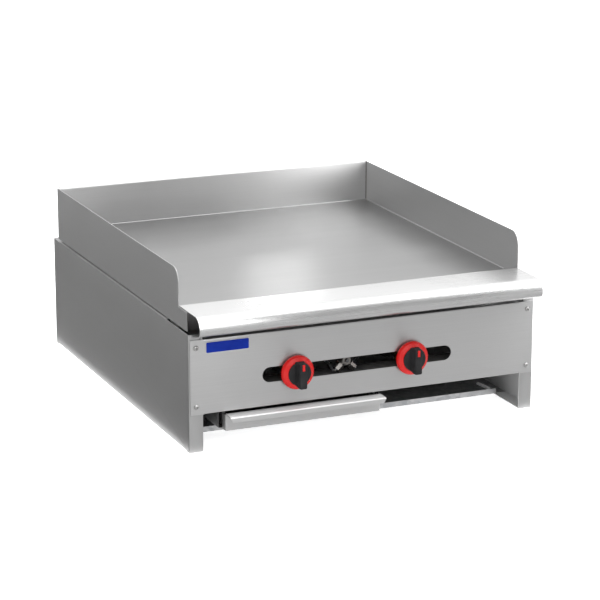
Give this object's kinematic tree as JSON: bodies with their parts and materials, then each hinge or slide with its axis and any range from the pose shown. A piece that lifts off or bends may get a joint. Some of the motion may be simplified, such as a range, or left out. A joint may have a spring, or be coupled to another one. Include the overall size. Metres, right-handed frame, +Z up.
{
  "type": "flat top griddle",
  "caption": "Countertop gas griddle: flat steel cooking plate with raised splash guards, rounded front ledge, control knobs on a slotted panel and a pull-out grease drawer.",
  "frame": {"origin": "centre of the footprint box on the counter, at the bottom of the case flanges", "axes": "+Z up; the control panel faces -Y and the gas inlet leaves towards +Y; +X is to the right seen from the front"},
  "size_m": [0.61, 0.75, 0.2971],
  "materials": {
    "satin_stainless": "satin brushed stainless sheet",
    "polished_stainless": "bright polished stainless sheet",
    "griddle_plate_steel": "ground steel plate, clean and unseasoned",
    "zinc_sheet": "dull zinc-coated sheet",
    "burner_iron": "dark burner iron, rough",
    "black_pipe": "black steel gas pipe, semi-matte",
    "brass": "turned brass",
    "bright_metal": "bright plated steel",
    "aluminium_tube": "plain aluminium",
    "red_plastic": "glossy red moulded plastic",
    "black_plastic": "satin black moulded plastic",
    "badge_blue": "smooth blue enamel, blank"
  },
  "bodies": {
    "chassis": {"left_side_panel": "satin_stainless", "right_side_panel": "satin_stainless", "rear_panel": "satin_stainless", "base_pan": "zinc_sheet", "pan_stop_rod": "aluminium_tube", "front_control_panel": "satin_stainless", "panel_screw_1": "bright_metal", "panel_screw_2": "bright_metal", "panel_screw_3": "bright_metal", "panel_screw_4": "bright_metal", "rear_screw_1": "bright_metal", "rear_screw_2": "bright_metal", "rear_screw_3": "bright_metal", "rear_screw_4": "bright_metal", "blank_badge": "badge_blue", "control_heat_shield": "zinc_sheet", "lower_heat_shield": "zinc_sheet", "griddle_plate": "griddle_plate_steel", "left_splash": "satin_stainless", "right_splash": "satin_stainless", "back_splash": "satin_stainless", "grease_trough": "satin_stainless", "grease_chute": "satin_stainless", "front_ledge": "polished_stainless", "front_plate_rail": "zinc_sheet", "rear_plate_rail": "zinc_sheet", "gas_manifold": "black_pipe", "manifold_cap": "black_pipe", "inlet_elbow": "black_pipe", "gas_supply_pipe": "black_pipe", "rear_burner_rail": "zinc_sheet", "left_burner": "burner_iron", "right_burner": "burner_iron", "left_valve_body": "brass", "right_valve_body": "brass", "left_orifice": "brass", "right_orifice": "brass", "pilot_valve": "bright_metal", "left_pilot_nut": "bright_metal", "right_pilot_nut": "bright_metal", "left_pilot_tube": "aluminium_tube", "right_pilot_tube": "aluminium_tube", "left_pilot_burner": "brass", "right_pilot_burner": "brass", "left_drawer_guide": "zinc_sheet", "right_drawer_guide": "zinc_sheet"},
    "left_valve_stem": {"left_valve_collar": "bright_metal"},
    "left_knob": {"left_valve_spindle": "bright_metal", "left_knob_skirt": "red_plastic", "left_knob_grip": "black_plastic"},
    "right_valve_stem": {"right_valve_collar": "bright_metal"},
    "right_knob": {"right_valve_spindle": "bright_metal", "right_knob_skirt": "red_plastic", "right_knob_grip": "black_plastic"},
    "left_shutter": {"left_air_shutter": "zinc_sheet"},
    "right_shutter": {"right_air_shutter": "zinc_sheet"},
    "pilot_screw": {"pilot_adjuster": "brass"},
    "grease_drawer": {"drawer_tray": "zinc_sheet", "drawer_front": "satin_stainless"}
  },
  "joints": [
    {"name": "left_valve_push", "type": "slide", "parent": "chassis", "child": "left_valve_stem", "axis": [0, 1, 0], "range_m": [0, 0.003], "stiffness_N_per_m": 900, "springref_m": -0.002},
    {"name": "left_knob_turn", "type": "hinge", "parent": "left_valve_stem", "child": "left_knob", "pos_m": [-0.122, -0.355, 0.114], "axis": [0, -1, 0], "range_deg": [0, 90]},
    {"name": "right_valve_push", "type": "slide", "parent": "chassis", "child": "right_valve_stem", "axis": [0, 1, 0], "range_m": [0, 0.003], "stiffness_N_per_m": 900, "springref_m": -0.002},
    {"name": "right_knob_turn", "type": "hinge", "parent": "right_valve_stem", "child": "right_knob", "pos_m": [0.08, -0.355, 0.114], "axis": [0, -1, 0], "range_deg": [0, 90]},
    {"name": "left_shutter_turn", "type": "hinge", "parent": "chassis", "child": "left_shutter", "pos_m": [-0.122, -0.25, 0.114], "axis": [0, 1, 0], "range_deg": [0, 60]},
    {"name": "right_shutter_turn", "type": "hinge", "parent": "chassis", "child": "right_shutter", "pos_m": [0.08, -0.25, 0.114], "axis": [0, 1, 0], "range_deg": [0, 60]},
    {"name": "pilot_screw_turn", "type": "hinge", "parent": "chassis", "child": "pilot_screw", "pos_m": [-0.026, -0.32, 0.116], "axis": [0, 1, 0], "range_deg": [0, 180]},
    {"name": "grease_drawer_slide", "type": "slide", "parent": "chassis", "child": "grease_drawer", "axis": [0, -1, 0], "range_m": [0, 0.36]}
  ]
}
